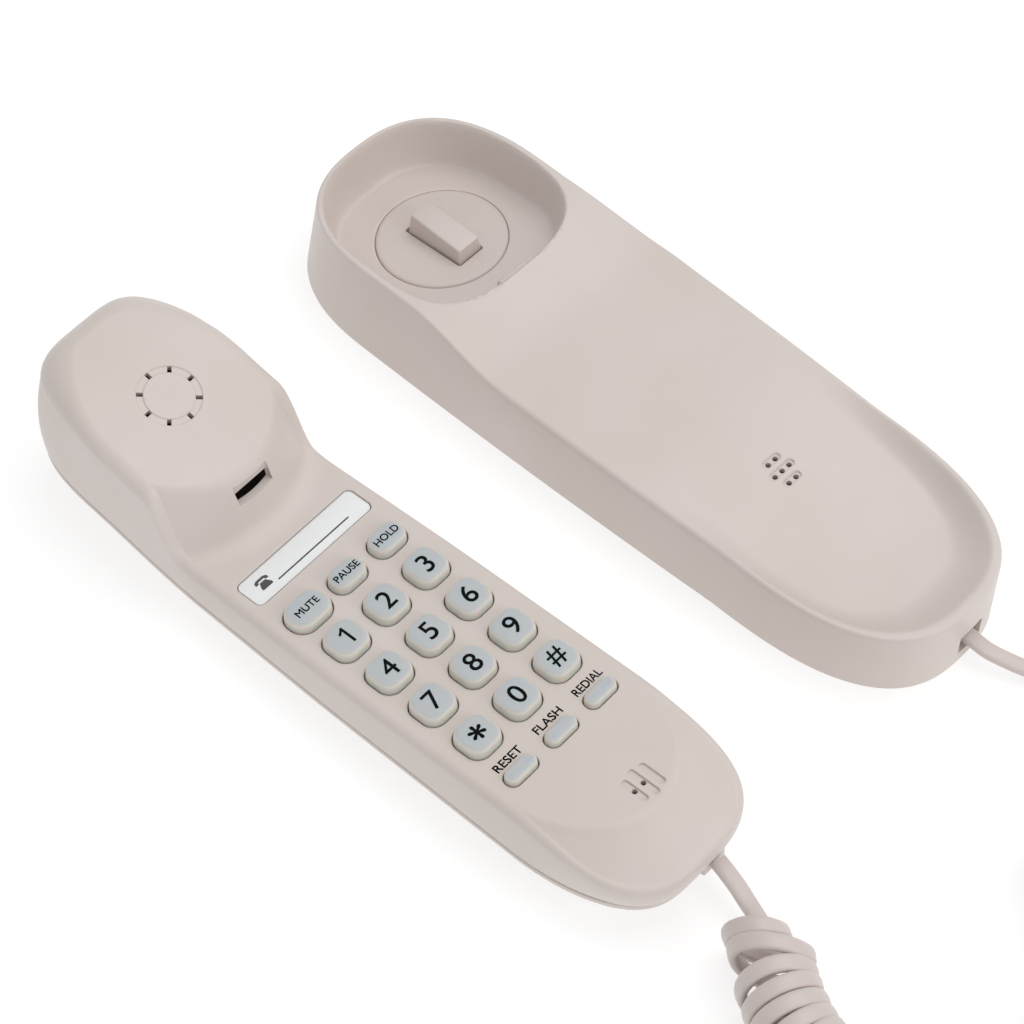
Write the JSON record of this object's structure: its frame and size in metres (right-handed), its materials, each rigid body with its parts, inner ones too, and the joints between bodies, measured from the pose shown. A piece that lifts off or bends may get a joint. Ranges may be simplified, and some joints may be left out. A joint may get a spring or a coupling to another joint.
{
  "type": "slimline wall telephone",
  "caption": "Slimline wall or desk telephone: a narrow cradle base with a hook lever, and a keypad handset lying beside it on a curly cord.",
  "frame": {"origin": "middle of the base's flat back plate, on the surface that it lies on or hangs against", "axes": "+Z out of the base's face, +Y along the base towards its ear end, +X to the right"},
  "size_m": [0.1529, 0.305, 0.0446],
  "materials": {
    "beige_abs": "fine satin texture",
    "blue_grey_keys": "satin",
    "zinc_steel": "zinc plated",
    "black_nylon": "matte",
    "circuit_green": "solder mask",
    "clear_silicone": "matte",
    "grey_rubber": "matte",
    "card_white": "matte",
    "clear_window": "clear, polished",
    "beige_pvc": "satin"
  },
  "bodies": {
    "base": {"base_top_shell": "beige_abs", "base_back_plate": "beige_abs", "hook_disc": "beige_abs", "hook_lever_pin": "zinc_steel", "hook_spring": "zinc_steel", "hook_switch": "black_nylon", "base_circuit_board": "circuit_green", "ringer": "black_nylon", "line_jack": "black_nylon", "base_cord_jack": "black_nylon", "ballast_plate": "zinc_steel", "foot_1": "grey_rubber", "foot_2": "grey_rubber", "foot_3": "grey_rubber", "foot_4": "grey_rubber", "base_screw_1": "zinc_steel", "base_screw_2": "zinc_steel", "base_screw_3": "zinc_steel", "base_screw_4": "zinc_steel", "base_plug": "beige_pvc", "base_cord_tail": "beige_pvc", "cord_coil": "beige_pvc"},
    "hook_lever": {"hook_lever": "beige_abs"},
    "hanger_tab": {"hanger_tab": "beige_abs"},
    "handset": {"handset_front_shell": "beige_abs", "handset_back_shell": "beige_abs", "keypad_mat": "clear_silicone", "handset_circuit_board": "circuit_green", "handset_ballast": "zinc_steel", "receiver_capsule": "black_nylon", "microphone": "zinc_steel", "microphone_boot": "clear_silicone", "label_card": "card_white", "label_window": "clear_window", "handset_cord_jack": "black_nylon", "handset_screw_1": "zinc_steel", "handset_screw_2": "zinc_steel", "handset_plug": "beige_pvc", "handset_cord_tail": "beige_pvc"},
    "key_1": {"key_1": "blue_grey_keys"},
    "key_2": {"key_2": "blue_grey_keys"},
    "key_3": {"key_3": "blue_grey_keys"},
    "key_4": {"key_4": "blue_grey_keys"},
    "key_5": {"key_5": "blue_grey_keys"},
    "key_6": {"key_6": "blue_grey_keys"},
    "key_7": {"key_7": "blue_grey_keys"},
    "key_8": {"key_8": "blue_grey_keys"},
    "key_9": {"key_9": "blue_grey_keys"},
    "key_star": {"key_star": "blue_grey_keys"},
    "key_0": {"key_0": "blue_grey_keys"},
    "key_hash": {"key_hash": "blue_grey_keys"},
    "key_mute": {"key_mute": "blue_grey_keys"},
    "key_pause": {"key_pause": "blue_grey_keys"},
    "key_hold": {"key_hold": "blue_grey_keys"},
    "key_reset": {"key_reset": "blue_grey_keys"},
    "key_flash": {"key_flash": "blue_grey_keys"},
    "key_redial": {"key_redial": "blue_grey_keys"}
  },
  "joints": [
    {"name": "hook_lever_press", "type": "hinge", "parent": "base", "child": "hook_lever", "pos_m": [0, 0.0617, 0.00995], "axis": [-1, 0, 0], "range_deg": [0, 11], "stiffness_Nm_per_rad": 0.03, "springref_deg": -8.59},
    {"name": "hanger_tab_lift", "type": "slide", "parent": "base", "child": "hanger_tab", "axis": [0, 0, 1], "range_m": [0, 0.009]},
    {"name": "handset_lift", "type": "slide", "parent": "base", "child": "handset", "axis": [0, 0, 1], "range_m": [0, 0.15]},
    {"name": "key_1_press", "type": "slide", "parent": "handset", "child": "key_1", "axis": [0.0017, -0.0541, -0.9985], "range_m": [0, 0.0015], "stiffness_N_per_m": 300, "springref_m": -0.001},
    {"name": "key_2_press", "type": "slide", "parent": "handset", "child": "key_2", "axis": [0.0017, -0.0541, -0.9985], "range_m": [0, 0.0015], "stiffness_N_per_m": 300, "springref_m": -0.001},
    {"name": "key_3_press", "type": "slide", "parent": "handset", "child": "key_3", "axis": [0.0017, -0.0541, -0.9985], "range_m": [0, 0.0015], "stiffness_N_per_m": 300, "springref_m": -0.001},
    {"name": "key_4_press", "type": "slide", "parent": "handset", "child": "key_4", "axis": [0.0017, -0.0541, -0.9985], "range_m": [0, 0.0015], "stiffness_N_per_m": 300, "springref_m": -0.001},
    {"name": "key_5_press", "type": "slide", "parent": "handset", "child": "key_5", "axis": [0.0017, -0.0541, -0.9985], "range_m": [0, 0.0015], "stiffness_N_per_m": 300, "springref_m": -0.001},
    {"name": "key_6_press", "type": "slide", "parent": "handset", "child": "key_6", "axis": [0.0017, -0.0541, -0.9985], "range_m": [0, 0.0015], "stiffness_N_per_m": 300, "springref_m": -0.001},
    {"name": "key_7_press", "type": "slide", "parent": "handset", "child": "key_7", "axis": [0.0017, -0.0541, -0.9985], "range_m": [0, 0.0015], "stiffness_N_per_m": 300, "springref_m": -0.001},
    {"name": "key_8_press", "type": "slide", "parent": "handset", "child": "key_8", "axis": [0.0017, -0.0541, -0.9985], "range_m": [0, 0.0015], "stiffness_N_per_m": 300, "springref_m": -0.001},
    {"name": "key_9_press", "type": "slide", "parent": "handset", "child": "key_9", "axis": [0.0017, -0.0541, -0.9985], "range_m": [0, 0.0015], "stiffness_N_per_m": 300, "springref_m": -0.001},
    {"name": "key_star_press", "type": "slide", "parent": "handset", "child": "key_star", "axis": [0.0017, -0.0541, -0.9985], "range_m": [0, 0.0015], "stiffness_N_per_m": 300, "springref_m": -0.001},
    {"name": "key_0_press", "type": "slide", "parent": "handset", "child": "key_0", "axis": [0.0017, -0.0541, -0.9985], "range_m": [0, 0.0015], "stiffness_N_per_m": 300, "springref_m": -0.001},
    {"name": "key_hash_press", "type": "slide", "parent": "handset", "child": "key_hash", "axis": [0.0017, -0.0541, -0.9985], "range_m": [0, 0.0015], "stiffness_N_per_m": 300, "springref_m": -0.001},
    {"name": "key_mute_press", "type": "slide", "parent": "handset", "child": "key_mute", "axis": [0.0017, -0.0541, -0.9985], "range_m": [0, 0.0015], "stiffness_N_per_m": 300, "springref_m": -0.001},
    {"name": "key_pause_press", "type": "slide", "parent": "handset", "child": "key_pause", "axis": [0.0017, -0.0541, -0.9985], "range_m": [0, 0.0015], "stiffness_N_per_m": 300, "springref_m": -0.001},
    {"name": "key_hold_press", "type": "slide", "parent": "handset", "child": "key_hold", "axis": [0.0017, -0.0541, -0.9985], "range_m": [0, 0.0015], "stiffness_N_per_m": 300, "springref_m": -0.001},
    {"name": "key_reset_press", "type": "slide", "parent": "handset", "child": "key_reset", "axis": [0.0017, -0.0541, -0.9985], "range_m": [0, 0.0015], "stiffness_N_per_m": 300, "springref_m": -0.001},
    {"name": "key_flash_press", "type": "slide", "parent": "handset", "child": "key_flash", "axis": [0.0017, -0.0541, -0.9985], "range_m": [0, 0.0015], "stiffness_N_per_m": 300, "springref_m": -0.001},
    {"name": "key_redial_press", "type": "slide", "parent": "handset", "child": "key_redial", "axis": [0.0017, -0.0541, -0.9985], "range_m": [0, 0.0015], "stiffness_N_per_m": 300, "springref_m": -0.001}
  ]
}
